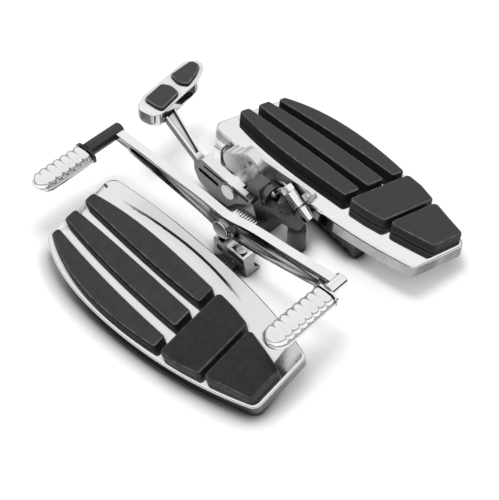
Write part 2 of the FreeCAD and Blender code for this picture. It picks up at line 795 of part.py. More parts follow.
def right_casting():
    """Silver casting: thick round front with a counterbore, and an arm back to the rear eye."""
    face = casting_face
    back = casting_back
    boss_y, boss_z = casting_boss
    front_y, front_z = casting_front_eye
    rear_y, rear_z = casting_rear_eye
    boss = cross_rod(casting_boss_radius, face, back, casting_boss)
    boss = boss.makeFillet(2.0, rim_edges(boss, face))
    front = cross_rod(casting_front_radius, face, back, casting_front_eye)
    bridge = side_slab(outline([(front_y, front_z + casting_front_radius - 0.5),
                                (front_y, front_z - casting_front_radius + 0.5),
                                (boss_y, boss_z - casting_boss_radius + 1),
                                (boss_y, boss_z + casting_boss_radius - 1)]), face, back)
    rear = cross_rod(casting_rear_radius, casting_arm_face, back, casting_rear_eye)
    arm = side_slab(corner_wire([(boss_y, boss_z + casting_boss_radius - 3, 1), (boss_y, boss_z - 14, 1),
                                 (226, 40, 3), (190, 57, 30), (rear_y, rear_z - casting_rear_radius, 1),
                                 (rear_y, rear_z + casting_rear_radius, 1), (195, 69.5, 40)]),
                    casting_arm_face, back)
    stem = box(face, back, casting_stem[0], casting_stem[1], arm_bottom, boss_z)
    stand_start = pedal_face - pedal_boss_proud + pedal_boss_width() + post_gap
    stand = cross_rod(pivot_stand_radius, stand_start, face + casting_recess_depth, pedal_pivot)
    recess = cross_rod(casting_recess_radius, face, face + casting_recess_depth, casting_recess)
    body = fuse_all([front, boss, bridge, rear, arm, stem]).cut(recess)
    return cut_all(fuse_all([body, stand]), [cross_rod(casting_bore_radius, casting_arm_face, back, casting_rear_eye),
                                             cross_rod(pedal_pivot_radius - 1, stand_start, back, pedal_pivot)])


def bolt_head(seat, eye):
    head = cross_rod(casting_bolt_radius, seat - casting_bolt_height, seat, eye)
    return head.makeFillet(1.0, rim_edges(head, seat - casting_bolt_height))


def casting_bolts():
    """Bolt in the counterbore and bolt through the rear eye."""
    place = (casting_recess[0] + casting_bolt_offset[0], casting_recess[1] + casting_bolt_offset[1])
    first = bolt_head(casting_face + casting_recess_depth, place)
    shank = cross_rod(casting_bore_radius, casting_arm_face, casting_back, casting_rear_eye)
    return Part.makeCompound([first, fuse_all([bolt_head(casting_arm_face, casting_rear_eye), shank])])


def block_rear(z):
    """Place of the leaning mount's rear face at a height."""
    return block_foot_rear + block_lean * z / block_height


def right_mount():
    """Leaning block that stands on the table, with a cupped boss behind it and a spring seat."""
    profile = corner_wire([(block_foot_rear, 0, 1), (block_foot_front, 0, 1),
                           (block_foot_front + block_lean, block_height, 2), (block_rear(block_height), block_height, 3)])
    block = side_slab(profile, block_left, block_right)
    x, z = ring_centre
    y = block_rear(z)
    ring = rod(ring_radius, Vector(x, y + ring_root, z), Vector(x, y - ring_depth / 2, z))
    cup = rod(ring_radius - ring_wall, Vector(x, y + ring_depth / 2, z), Vector(x, y - ring_depth, z))
    spring_x, spring_z = spring_centre
    seat = box(spring_x - spring_seat_half, block_left + 1, spring_start - spring_seat_thickness, spring_start,
               arm_bottom, spring_z + spring_seat_half)
    return cut_all(fuse_all([block, ring, seat]), [cup])


def fitting_point(offset):
    return Vector(fitting_x, fitting_top[0], fitting_top[1]) + fitting_direction() * offset


def fitting_direction():
    angle = math.radians(fitting_fall)
    return Vector(0, -math.cos(angle), -math.sin(angle))


def on_fitting(solid, offset):
    """Puts a solid drawn along z on the fitting's falling axis."""
    turn = FreeCAD.Rotation(Vector(0, 0, 1), fitting_direction())
    solid.Placement = FreeCAD.Placement(fitting_point(offset), turn)
    return solid


def fitting_nut():
    """Hexagon nut with a chamfered face."""
    cone = Part.makeCone(nut_width / 2, nut_width / 2 + nut_height, nut_height)
    return on_fitting(slab(hexagon(nut_width), 0, nut_height).common(cone).removeSplitter(), 0)


def ball_joint():
    """Ball seated in the cupped boss, with a stem to the fitting's nut."""
    x, z = ring_centre
    centre = Vector(x + ball_offset[0], block_rear(z) + ring_depth / 2 - ball_radius, z + ball_offset[1])
    stem = rod(ball_stem_radius, centre, fitting_point(nut_height / 2))
    return fuse_all([Part.makeSphere(ball_radius, centre), stem]).cut(fitting_nut())


def fitting_barrel():
    """Turned sleeve with a narrow waist below it."""
    barrel = Part.makeCylinder(barrel_radius, barrel_length)
    barrel = barrel.makeChamfer(barrel_chamfer, level_edges(barrel, 0) + level_edges(barrel, barrel_length))
    waist = Part.makeCylinder(barrel_waist_radius, barrel_waist, Vector(0, 0, barrel_length))
    return on_fitting(fuse_all([barrel, waist]), nut_height)


def fitting_cap():
    """Tapered end cap, open at its lower end."""
    cap = Part.makeCone(barrel_radius, cap_end_radius, cap_length)
    hole = Part.makeCylinder(cap_end_radius - cap_wall, cap_length / 2, Vector(0, 0, cap_length / 2))
    return on_fitting(cap.cut(hole), nut_height + barrel_length + barrel_waist)


def rubber_foot():
    """Upright rubber bumper that the bracket stands on."""
    x, y = foot_place
    foot = rod(foot_radius, Vector(x, y, 0), Vector(x, y, foot_height))
    return foot.makeFillet(foot_edge, level_edges(foot, 0) + level_edges(foot, foot_height))


def foot_carrier():
    """Flat arm from the mount block out over the rubber foot, with a short boss beside it."""
    x, y = foot_place
    low = foot_height
    top = low + carrier_thickness
    arm = box(x - carrier_half_width, x + carrier_half_width, y, block_rear(top) + 1, low, top)
    pad = rod(carrier_half_width, Vector(x, y, low), Vector(x, y, top))
    boss_x, boss_y = boss_place
    boss = rod(boss_radius, Vector(boss_x, boss_y, low - boss_drop), Vector(boss_x, boss_y, top + boss_rise))
    return fuse_all([arm, pad, boss])


# Setting the boards down on the table


def flip(side):
    return -1 if side == "left" else 1


def board_turn(side):
    """Rotation of a board frame without its roll, and its roll about the folding axis."""
    if side == "left":
        yaw, pitch, roll = left_yaw, left_pitch, -left_roll
    else:
        yaw, pitch, roll = right_yaw, right_pitch, right_roll
    level = FreeCAD.Rotation(Vector(0, 0, 1), yaw).multiply(FreeCAD.Rotation(Vector(1, 0, 0), pitch))
    return level, FreeCAD.Rotation(Vector(0, 1, 0), roll)


def board_placement(side):
    """Placement of a board frame whose lowest skirt edge touches the table."""
    level, roll = board_turn(side)
    turn = level.multiply(roll)
    spot = Vector(*(left_place if side == "left" else right_place), 0)
    rim = [turn.multVec(Vector(flip(side) * p.x, p.y, -skirt_depth)).z for p in curve(outer_edge).discretize(80)]
    spot.z = -min(rim)
    return FreeCAD.Placement(spot, turn)


def hinge_placement(side):
    """Placement of a hinge frame: origin on the folding axis, x level across the bike."""
    level = board_turn(side)[0]
    return FreeCAD.Placement(board_placement(side).multVec(Vector(flip(side) * hinge_x, 0, hinge_z)), level)


def placed(shape, placement):
    copy = shape.copy()
    copy.Placement = placement.multiply(copy.Placement)
    return copy


def on_board(shape, side):
    if side == "left":
        shape = shape.mirror(Vector(0, 0, 0), Vector(1, 0, 0))
    return placed(shape, board_placement(side))


def on_hinge(shape, side):
    return placed(shape, hinge_placement(side))


def all_nodes():
    deck = board()
    pins = hinge_pins()
    pads = {
        "inner_strip": strip_pad(inner_strip_edges),
        "middle_strip": strip_pad(middle_strip_edges),
        "outer_strip": strip_pad(outer_strip_edges),
        "wide_block": block_pad(wide_block_corners),
        "heel_block": block_pad(heel_block_corners),
    }
    nodes = {}
    for side in ("left", "right"):
        nodes[side + "_board"] = on_board(deck, side)
        for name, pad in pads.items():
            nodes[side + "_" + name] = on_board(pad, side)
        nodes[side + "_hinge_pins"] = on_hinge(pins, side)
    left_block = left_mount()
    lever = shift_lever()
    right_block = right_mount()
    casting = right_casting()
    toe_root = sleeve_outboard - peg_flange
    heel_root = heel_eye_outboard - peg_flange
    nodes["left_support"] = left_support().cut(left_block)
    nodes["left_mount"] = left_block
    nodes["left_mount_screw"] = cap_screw(mount_screw[0], mount_screw[1], screw_seat())
    nodes["shift_pivot_bolt"] = shift_pivot_bolt()
    nodes["shift_lever"] = lever
    nodes["toe_sleeve"] = toe_sleeve(lever)
    nodes["toe_stud"] = toe_stud()
    nodes["toe_peg"] = peg(toe_root, toe_peg_length, toe_eye)
    nodes["heel_collar"] = peg_collar(heel_root, heel_eye)
    nodes["heel_bolt"] = heel_stud()
    nodes["heel_peg"] = peg(heel_root, heel_peg_length, heel_eye)
    nodes["right_support"] = cut_all(right_support(), [right_block, casting])
    nodes["right_casting"] = casting
    nodes["casting_bolts"] = casting_bolts()
    nodes["right_mount"] = right_block
    nodes["brake_pedal"] = brake_pedal()
    nodes["brake_pivot_bolt"] = brake_pivot_bolt()
    nodes["brake_insert_left"] = pedal_insert(insert_left)
    nodes["brake_insert_right"] = pedal_insert(insert_right)
    nodes["return_spring"] = return_spring()
    nodes["ball_joint"] = ball_joint()
    nodes["fitting_nut"] = fitting_nut()
    nodes["fitting_barrel"] = fitting_barrel()
    nodes["fitting_cap"] = fitting_cap()
    nodes["foot_carrier"] = foot_carrier().cut(right_block)
    nodes["rubber_foot"] = rubber_foot()
    return nodes


def main():
    nodes = all_nodes()
    whole = Part.makeCompound(list(nodes.values())).optimalBoundingBox(True, False)
    shift = Vector(-whole.Center.x, -whole.Center.y, -whole.ZMin)
    for name, shape in nodes.items():
        shape.translate(shift)
        shape.exportStep("parts/" + name + ".step")
        print(name, len(shape.Solids), round(shape.Volume), shape.isValid())
    print("size", whole.XLength, whole.YLength, whole.ZLength, "shift", shift)
    for side in ("left", "right"):
        place = hinge_placement(side)
        print(side, "hinge", place.multVec(Vector(0, hinge_centres[0], 0)) + shift,
              "axis", place.Rotation.multVec(Vector(0, 1, 0)))
    print("shift pivot", Vector(lever_face, lever_pivot[0], lever_pivot[1]) + shift)
    print("brake pivot", Vector(pedal_face, pedal_pivot[0], pedal_pivot[1]) + shift)


main()
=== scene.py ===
import math
from functools import partial

import bmesh
import bpy
from mathutils import Matrix, Vector


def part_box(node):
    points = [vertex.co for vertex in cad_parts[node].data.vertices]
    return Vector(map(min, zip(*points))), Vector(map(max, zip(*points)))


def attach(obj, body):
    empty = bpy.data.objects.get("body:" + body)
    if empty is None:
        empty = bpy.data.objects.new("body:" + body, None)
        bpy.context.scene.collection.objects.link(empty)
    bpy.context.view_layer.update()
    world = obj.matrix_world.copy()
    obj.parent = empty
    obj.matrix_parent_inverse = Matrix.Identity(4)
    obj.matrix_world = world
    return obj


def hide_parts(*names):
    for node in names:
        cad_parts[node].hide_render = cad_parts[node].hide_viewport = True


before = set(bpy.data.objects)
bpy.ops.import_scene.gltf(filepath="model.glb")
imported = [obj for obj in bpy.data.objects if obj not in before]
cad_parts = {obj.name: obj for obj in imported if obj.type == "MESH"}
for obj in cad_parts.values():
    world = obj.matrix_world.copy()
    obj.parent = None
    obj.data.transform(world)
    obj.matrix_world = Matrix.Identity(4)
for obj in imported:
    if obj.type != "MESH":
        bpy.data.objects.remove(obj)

bl_info = {
    "name": "Driver Floorboards and Controls",
    "version": (1, 0, 0),
    "blender": (4, 5, 0),
    "location": "View3D > Sidebar > Floorboards",
    "description": "Finishes a pair of chrome floorboards with rubber pads, shift lever and brake pedal",
    "category": "Object",
}

# Metallic value of the two kinds of surface.
METAL, NOT_METAL = 1.0, 0.0

# Relief of the finishes, in metres.
PEEL_HEIGHT = 0.00003
TOOL_MARK_HEIGHT = 0.00003
CAST_PLATE_HEIGHT = 0.00004
RUBBER_GRAIN_HEIGHT = 0.00004
PAINT_HEIGHT = 0.00005
SAND_HEIGHT = 0.00012
CREASE_DEPTH = 0.0006
BAND_DEPTH = 0.0006

# Studio. A sky stop is a position, 0 at the horizon and below and 1 straight up, and a brightness.
SKY_STOPS = ((0.0, 0.85), (0.06, 0.8), (0.1, 0.03), (0.34, 0.03), (0.4, 0.9), (0.55, 1.0), (0.8, 0.95), (0.9, 0.86),
             (1.0, 0.9))
SKY_DIFFUSE_SHARE = 0.8
FLOOR_HALF_SIZE = 6.0
FLOOR_HEIGHT = -0.0005
LAMP_PLACE = (0.05, 0.15, 1.5)
LAMP_SIZE = 0.6
CAMERA_ROLL = math.radians(-0.1)
CAMERA_CLIP_END = 50.0


def set_stops(color_ramp, stops):
    """Gives a ramp its grey stops, each a position and a level."""
    elements = color_ramp.elements
    for _ in range(len(stops) - len(elements)):
        elements.new(0.5)
    for element, (position, level) in zip(elements, stops):
        element.position = position
        element.color = (level, level, level, 1.0)


class Flow:
    """A value, colour or vector in a material, so that shader maths reads as an expression."""

    def __init__(self, graph, socket):
        self.graph = graph
        self.socket = socket

    def __add__(self, other):
        return self.graph.math("ADD", self, other)

    def __radd__(self, other):
        return self.graph.math("ADD", other, self)

    def __sub__(self, other):
        return self.graph.math("SUBTRACT", self, other)

    def __rsub__(self, other):
        return self.graph.math("SUBTRACT", other, self)

    def __mul__(self, other):
        return self.graph.math("MULTIPLY", self, other)

    def __rmul__(self, other):
        return self.graph.math("MULTIPLY", other, self)

    def ramp(self, *stops):
        """Maps the value through stops given as position and level."""
        return self.graph.node("ValToRGB", {"stops": stops}, {"Fac": self}, out="Color")

    def between(self, low, high):
        """Runs from low where the value is 0 to high where it is 1."""
        return low + self * (high - low)


class Graph:
    """Nodes of one material or of the world."""

    def __init__(self, tree):
        self.tree = tree

    def feed(self, socket, value):
        """Links a flow to a socket, or sets the socket's own value."""
        if isinstance(value, Flow):
            self.tree.links.new(value.socket, socket)
        else:
            socket.default_value = value

    def node(self, kind, settings, sockets, out=0):
        """Any node: its type, its settings, then the values or links of its sockets by name or number."""
        made = self.tree.nodes.new("ShaderNode" + kind)
        for key, value in settings.items():
            if key == "stops":
                set_stops(made.color_ramp, value)
            else:
                setattr(made, key, value)
        for key, value in sockets.items():
            self.feed(made.inputs[key], value)
        return Flow(self, made.outputs[out]) if made.outputs else None

    def math(self, operation, *values):
        return self.node("Math", {"operation": operation}, dict(enumerate(values)))

    def place(self):
        """Object coordinates in metres, which are the frame's own."""
        return self.node("TexCoord", {}, {}, out="Object")

    def component(self, vector, axis):
        return self.node("SeparateXYZ", {}, {0: vector}, out=axis)

    def reach(self, axis):
        """Place along one axis, in metres."""
        return self.component(self.place(), axis)

    def facing(self, axis):
        """How far the surface faces along one axis of the piece, from -1 to 1."""
        return self.component(self.node("TexCoord", {}, {}, out="Normal"), axis)

    def ray(self, kind):
        """1 for one kind of ray and 0 for the others."""
        return self.node("LightPath", {}, {}, out="Is " + kind + " Ray")

    def noise(self, scale, detail=3.0, stretch=(1.0, 1.0, 1.0)):
        """Noise with its scale in 1/m, squeezed by a factor along each axis."""
        point = self.node("VectorMath", {"operation": "MULTIPLY"}, {0: self.place(), 1: stretch})
        return self.node("TexNoise", {}, {"Vector": point, "Scale": scale, "Detail": detail}, out="Fac")

    def nook(self, distance, shut, open_at, samples=6):
        """Runs from 0 deep in a corner or slot to 1 on open faces."""
        seen = self.node("AmbientOcclusion", {"samples": samples}, {"Distance": distance}, out="AO")
        return seen.ramp((shut, 0.0), (open_at, 1.0))

    def blend(self, mask, low, high):
        """Colour that runs from low to high with the mask; a Mix node's colours are its sockets 6 and 7."""
        return self.node("Mix", {"data_type": "RGBA"}, {0: mask, 6: low, 7: high}, out=2)


def opaque(color, gain=1.0):
    """Colour times a gain, with full alpha."""
    return (color[0] * gain, color[1] * gain, color[2] * gain, 1.0)


def toward(axis, start, end, sign=1.0):
    """Mask of the faces that look along an axis: 0 up to start and 1 from end."""
    return lambda g: (g.facing(axis) * sign).ramp((start, 0.0), (end, 1.0))


# Masks by face direction; the sides they pick out on decks and blocks are painted darker as painted shade.
skirt_to_top = toward("Z", 0.05, 0.5)
side_to_top = toward("Z", 0.45, 0.8)


def skin(g, color, roughness, metallic, relief, relief_height, specular=0.5, coat=0.0):
    """Principled shader with its varying colour and roughness and its relief."""
    bump = g.node("Bump", {}, {"Strength": 1.0, "Distance": relief_height, "Height": relief}, out="Normal")
    return g.node("BsdfPrincipled", {}, {
        "Base Color": color,
        "Roughness": roughness,
        "Metallic": metallic,
        "Specular IOR Level": specular,
        "Coat Weight": coat,
        "Normal": bump,
    }, out="BSDF")


def clouded(g, color):
    """Colour of plate, with faint clouds in it."""
    return g.blend(g.noise(14.0), opaque(color, 0.94), opaque(color))


def corner_shaded(g, color, tone, share=0.1, distance=0.007, shut=0.4, open_at=0.72):
    """Tone with painted shade: it falls to a share of the colour in corners and slots, which swallow the light."""
    return g.blend(g.nook(distance, shut, open_at), opaque(color, share), tone)


def orange_peel(g):
    return g.noise(120.0, detail=2.0)


def mirror(g, tone, roughness, relief=None, relief_height=PEEL_HEIGHT):
    """Polished metal in any tone, with patches of haze and faint orange peel."""
    haze = g.noise(60.0, detail=4.0).ramp((0.35, roughness), (0.75, roughness * 2.2))
    return skin(g, tone, haze, METAL, relief or orange_peel(g), relief_height)


def plate(g, color, roughness, distance=0.007, shut=0.4, open_at=0.72):
    """Polished plate with painted shade in its corners."""
    return mirror(g, corner_shaded(g, color, clouded(g, color), 0.1, distance, shut, open_at), roughness)


def side_shaded_plate(g, color, roughness):
    """Polished plate whose upright sides are painted darker than its top as a painted dark reflection, in random
    patches, with painted shade in its corners.
    """
    patches = g.noise(45.0, detail=4.0).ramp((0.35, 0.0), (0.7, 1.0))
    # Painted dark reflection: the upright sides take 0.18 to 0.36 of the colour.
    side = g.blend(patches, opaque(color, 0.18), opaque(color, 0.36))
    return mirror(g, corner_shaded(g, color, g.blend(skirt_to_top(g), side, clouded(g, color))), roughness)


def creased_reflection_plate(g, color, roughness):
    """Side-shaded plate with a painted dark reflection of the lever: a fine tapered dark line beside the lever, bent
    more behind its apex, over a shallow bumped crease, with a soft painted reflection band on one side of it.
    """
    apex_x, apex_y = -0.0836, 0.036
    front_bend, rear_bend = 0.57, 1.08
    rear_end, lengths_in_metre, line_widths_in_metre, reflection_band_widths_in_metre = -0.083, 4.7, 600.0, 110.0
    along = g.reach("Y") - apex_y
    front, rear = g.math("MAXIMUM", along, 0.0), g.math("MINIMUM", along, 0.0)
    aside = g.reach("X") - apex_x + front * front * front_bend + rear * rear * rear_bend
    taper = ((g.reach("Y") - rear_end) * lengths_in_metre).ramp(
        (0.0, 0.0), (0.1, 0.65), (0.16, 1.0), (0.72, 1.0), (0.85, 0.75), (0.97, 0.0))
    # Painted dark reflection line, also sunk into the surface as a bump crease.
    line = (g.math("ABSOLUTE", aside) * line_widths_in_metre).ramp((0.0, 1.0), (0.6, 1.0), (1.0, 0.0)) * taper
    # Soft painted reflection band beside the line, darkening the plate towards half its colour.
    haze = (aside * -reflection_band_widths_in_metre).ramp((0.0, 0.3), (0.35, 0.16), (1.0, 0.0)) * taper
    # Upright sides painted darker than the top as a painted dark reflection.
    tone = g.blend(skirt_to_top(g), opaque(color, 0.26), clouded(g, color))
    tone = corner_shaded(g, color, g.blend(haze, tone, opaque(color, 0.5)))
    return mirror(g, g.blend(line, tone, opaque(color, 0.03)), roughness, orange_peel(g) * 0.05 - line, CREASE_DEPTH)


def reflection_streaked_plate(g, color, roughness):
    """Plate in a long pocket, with dark and bright streaks that run lengthwise painted as reflections, and painted
    shade in its corners.
    """
    # Painted reflection: long streaks from 0.12 to 1.5 of the pocket colour.
    painted_reflection_streak = g.noise(1.0, detail=2.0, stretch=(30.0, 11.0, 190.0)).ramp((0.36, 0.0), (0.47, 0.55), (0.56, 1.0))
    tone = g.blend(painted_reflection_streak, opaque(color, 0.12), opaque(color, 1.5))
    return mirror(g, corner_shaded(g, color, tone, 0.08, 0.014, 0.4, 0.75), roughness)


def soft_plate(g, color, roughness):
    """Plate over a cast surface: softer mirror and lighter painted shade in its corners."""
    tone = g.blend(g.noise(40.0), opaque(color, 0.95), opaque(color, 1.05))
    haze = g.noise(60.0, detail=4.0).between(roughness - 0.04, roughness + 0.05)
    return skin(g, corner_shaded(g, color, tone, 0.68, 0.003, 0.35, 0.65), haze, METAL, g.noise(400.0, detail=2.0),
                CAST_PLATE_HEIGHT)


def satin(g, color, roughness, stretch=(1.0, 1.0, 1.0)):
    """Brushed metal with fine tool marks that run one way."""
    tone = g.blend(g.noise(60.0, detail=6.0), opaque(color, 0.8), opaque(color))
    brushed = g.noise(30.0, 6.0, stretch).between(roughness - 0.08, roughness + 0.12)
    return skin(g, tone, brushed, METAL, g.noise(60.0, 4.0, stretch), TOOL_MARK_HEIGHT)


def casting(g, color, roughness):
    """Fine casting with a sand-like skin and painted shade in its corners."""
    tone = g.blend(g.noise(40.0, detail=5.0), opaque(color, 0.85), opaque(color))
    dull = g.noise(150.0, detail=4.0).between(roughness - 0.06, roughness + 0.1)
    return skin(g, corner_shaded(g, color, tone, 0.2, 0.006, 0.2, 0.5), dull, METAL, g.noise(900.0), SAND_HEIGHT)


def paint(g, color, roughness):
    """Sprayed paint with a little dust."""
    dust = g.noise(220.0, detail=6.0).ramp((0.45, 0.0), (0.72, 1.0))
    dull = g.noise(120.0, detail=5.0).between(roughness - 0.08, roughness + 0.1)
    return skin(g, g.blend(dust, opaque(color), opaque(color, 2.0)), dull, NOT_METAL, g.noise(700.0), PAINT_HEIGHT,
                coat=0.2)


def mottled(g, color):
    """Colour of rubber, with soft wear."""
    return g.blend(g.noise(35.0, detail=6.0), opaque(color, 0.8), opaque(color, 1.25))


def dulled(g, roughness):
    """Roughness of rubber, with dull patches."""
    return g.noise(90.0, detail=5.0).between(roughness - 0.05, roughness + 0.08)


def moulded(g, tone, roughness, specular):
    """Moulded rubber in any tone, with fine grain."""
    grain = g.noise(2600.0, detail=2.0) + g.noise(300.0, detail=2.0) * 0.4
    return skin(g, tone, roughness, NOT_METAL, grain, RUBBER_GRAIN_HEIGHT, specular)


def rubber(g, color, roughness, specular):
    """Plain moulded rubber."""
    return moulded(g, mottled(g, color), dulled(g, roughness), specular)


def edged_rubber(g, color, roughness, specular):
    """Moulded rubber whose rounded top edges are worn shiny and carry a painted pale highlight."""
    edge = g.facing("Z").ramp((0.5, 0.0), (0.7, 1.0), (0.9, 1.0), (0.985, 0.0))
    # Painted highlight along the rounded top edges, broken up by noise.
    painted_highlight = edge * g.noise(110.0, detail=4.0).ramp((0.35, 0.25), (0.65, 1.0))
    tone = g.blend(painted_highlight, mottled(g, color), opaque(color, 11.0))
    return moulded(g, tone, edge.between(dulled(g, roughness), 0.1), specular)


def banded_rubber(g, color, roughness, specular, up, top, height, foot):
    """Side of a moulded block, painted darker than its top: a painted highlight line under its top edge, a painted
    dark groove over a bumped groove, and a lighter foot band.
    """
    above = g.node("VectorMath", {"operation": "DOT_PRODUCT"}, {0: g.place(), 1: up}, out="Value")
    band = ((top - above) * (1.0 / height)).ramp(
        (0.0, 0.3), (0.1, 0.75), (0.17, 0.25), (0.52, 0.4 * foot), (0.56, 0.0),
        (0.63, 0.0), (0.67, foot), (0.9, foot), (1.0, 0.0))
    painted_highlight = band * g.noise(160.0, detail=4.0).ramp((0.3, 0.6), (0.7, 1.0))
    # Painted shade: the sides take a quarter of the colour; the mask lifts the painted highlight line and also the
    # lighter foot band.
    tone = g.blend(painted_highlight, opaque(color, 0.25), opaque(color, 8.0))
    return skin(g, tone, roughness, NOT_METAL, band, BAND_DEPTH, specular)


def floor_paper(g, color, glow):
    """Pale paper with a painted contact shadow where something touches it, in its colour and its glow; camera, glossy
    and transmission rays see it a little brighter.
    """
    painted_contact_shadow = g.nook(0.027, 0.52, 0.97, samples=24)
    clean = g.blend(g.noise(40.0, detail=2.0), opaque(color, 0.995), opaque(color))
    paper = g.node("BsdfDiffuse", {}, {"Color": g.blend(painted_contact_shadow, opaque(color, 0.08), clean)})
    seen = g.math("MAXIMUM", g.math("MAXIMUM", g.ray("Camera"), g.ray("Glossy")), g.ray("Transmission"))
    light = g.node("Emission", {}, {"Color": painted_contact_shadow, "Strength": seen * glow})
    return g.node("AddShader", {}, {0: paper, 1: light})


def studio_sky(g, level):
    """Pale studio with a darker band above the horizon, which polished metal shows as dark lines."""
    height = g.component(g.node("TexCoord", {}, {}, out="Generated"), "Z")
    strength = g.ray("Diffuse").between(level, level * SKY_DIFFUSE_SHARE)
    return g.node("Background", {}, {"Color": height.ramp(*SKY_STOPS), "Strength": strength})


def surfaced(owner, output, surface):
    """Gives a material or a world one surface and nothing else."""
    owner.use_nodes = True
    owner.node_tree.nodes.clear()
    graph = Graph(owner.node_tree)
    graph.node(output, {}, {"Surface": surface(graph)})


def finished(name, surface):
    """Material made of one skin."""
    material = bpy.data.materials.new(name)
    surfaced(material, "OutputMaterial", surface)
    return material


def layered(name, mask, low, high):
    """Material that goes from a low skin to a high one with a mask."""
    return finished(name, lambda g: g.node("MixShader", {}, {0: mask(g), 1: low(g), 2: high(g)}))


def dress(material, *nodes):
    """Gives carried-over nodes their finish."""
    for node in nodes:
        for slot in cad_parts[node].material_slots:
            slot.material = material


def in_scene(name, data):
    """Object of some data, linked to the scene."""
    made = bpy.data.objects.new(name, data)
    bpy.context.scene.collection.objects.link(made)
    return made


def mesh_data(name, shape):
    """Mesh data of a bmesh, which is freed."""
    data = bpy.data.meshes.new(name)
    shape.to_mesh(data)
    shape.free()
    return data


def color_property(name, description, default):
    return bpy.props.FloatVectorProperty(name=name, description=description, default=default, size=3, min=0.0,
                                         max=1.0, subtype="COLOR")


def place_property(name, description, default):
    return bpy.props.FloatVectorProperty(name=name, description=description, default=default, size=3, subtype="XYZ",
                                         unit="LENGTH")


def factor_property(name, description, default):
    return bpy.props.FloatProperty(name=name, description=description, default=default, min=0.0, max=1.0,
                                   subtype="FACTOR")


def length_property(name, description, default):
    return bpy.props.FloatProperty(name=name, description=description, default=default, min=0.0, unit="LENGTH",
                                   subtype="DISTANCE", precision=4)


class FinishSettings(bpy.types.PropertyGroup):
    """Colours and gloss of the metal and rubber."""

    chrome: color_property("Chrome", "Colour of the plated parts", (0.9, 0.9, 0.9))
    chrome_roughness: factor_property("Chrome roughness", "Haze of the plated parts", 0.04)
    rubber: color_property("Pad rubber", "Colour of the floorboard pads", (0.01, 0.01, 0.0105))
    rubber_roughness: factor_property("Pad roughness", "Dullness of the floorboard pads", 0.4)
    insert: color_property("Pedal insert", "Colour of the brake pedal's rubber inserts", (0.026, 0.026, 0.027))
    sleeve: color_property("Sleeve rubber", "Colour of the toe peg's sleeve and of the foot", (0.012, 0.012, 0.012))
    casting: color_property("Silver casting", "Colour of the right casting and the left mount's top", (0.9, 0.9, 0.9))
    mount: color_property("Left mount", "Colour of the left mount's cut sides", (0.36, 0.36, 0.37))
    dark_mount: color_property("Right mount", "Colour of the right mount", (0.16, 0.16, 0.165))
    paint: color_property("Rail paint", "Colour of the rails under the boards", (0.03, 0.03, 0.032))
    # Base of the lever pockets' painted reflection streaks, which run darker and brighter than it.
    pocket: color_property("Lever pocket", "Colour of the long pockets in the lever's side", (0.5, 0.5, 0.51))
    pedal_side: color_property("Pedal side", "Colour of the pedal plate's cast side", (0.2, 0.2, 0.2))
    steel: color_property("Fastener steel", "Colour of screws, pins and pivots", (0.72, 0.72, 0.72))


class PegSettings(bpy.types.PropertyGroup):
    """Ribs of the toe and heel pegs."""

    rib_pitch: length_property("Rib pitch", "Distance between the ribs of a peg", 0.0102)
    rib_depth: length_property("Rib depth", "Depth of the valleys between the ribs of a peg", 0.0026)
    toe_shorter: length_property("Toe peg shorter", "How far the toe peg ends before its solid's tip", 0.006)


class SpringSettings(bpy.types.PropertyGroup):
    """Sizes of the brake pedal's return spring."""

    wire: length_property("Wire", "Diameter of the spring wire", 0.0024)
    coils: bpy.props.IntProperty(name="Coils", description="Turns of the spring", default=9, min=3, max=20)


class StageSettings(bpy.types.PropertyGroup):
    """Camera, floor and studio light."""

    lens: bpy.props.FloatProperty(name="Lens", description="Focal length of the camera", default=89.93, min=10.0,
                                  subtype="DISTANCE_CAMERA")
    camera_place: place_property("Camera", "Where the camera stands", (-0.7212, -0.6884, 1.0934))
    camera_target: place_property("Target", "Where the camera looks", (-0.01198, -0.01058, 0.0))
    lamp_power: bpy.props.FloatProperty(name="Lamp", description="Power of the large soft lamp", default=9.0,
                                        min=0.0, unit="POWER")
    sky_level: factor_property("Sky level", "Brightness of the studio round the boards", 1.0)
    floor: color_property("Floor", "Colour of the floor", (0.9, 0.9, 0.9))
    floor_glow: factor_property("Floor glow", "Light added to the floor for all but diffuse rays", 0.22)


class BOARDS_OT_decks(bpy.types.Operator):
    """Plate the two floorboards"""

    bl_idname = "boards.decks"
    bl_label = "Chrome decks"

    def execute(self, context):
        finish = context.scene.board_finish
        gloss = {"color": finish.chrome, "roughness": finish.chrome_roughness}
        dress(finished("left_deck_chrome", partial(creased_reflection_plate, **gloss)), "left_board")
        dress(finished("deck_chrome", partial(side_shaded_plate, **gloss)), "right_board")
        return {"FINISHED"}


def block_side(node, finish):
    """Skin of a block's sides, painted darker and banded with painted highlight and shade below the block's own top
    face; only the right blocks have a lighter foot band.
    """
    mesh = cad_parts[node].data
    up = max(mesh.polygons, key=lambda face: face.area * face.normal.z).normal.copy()
    heights = [up.dot(vertex.co) for vertex in mesh.vertices]
    return partial(banded_rubber, color=finish.rubber, roughness=0.4, specular=0.25, up=up, top=max(heights),
                   height=max(heights) - min(heights), foot=0.5 if node.startswith("right") else 0.0)


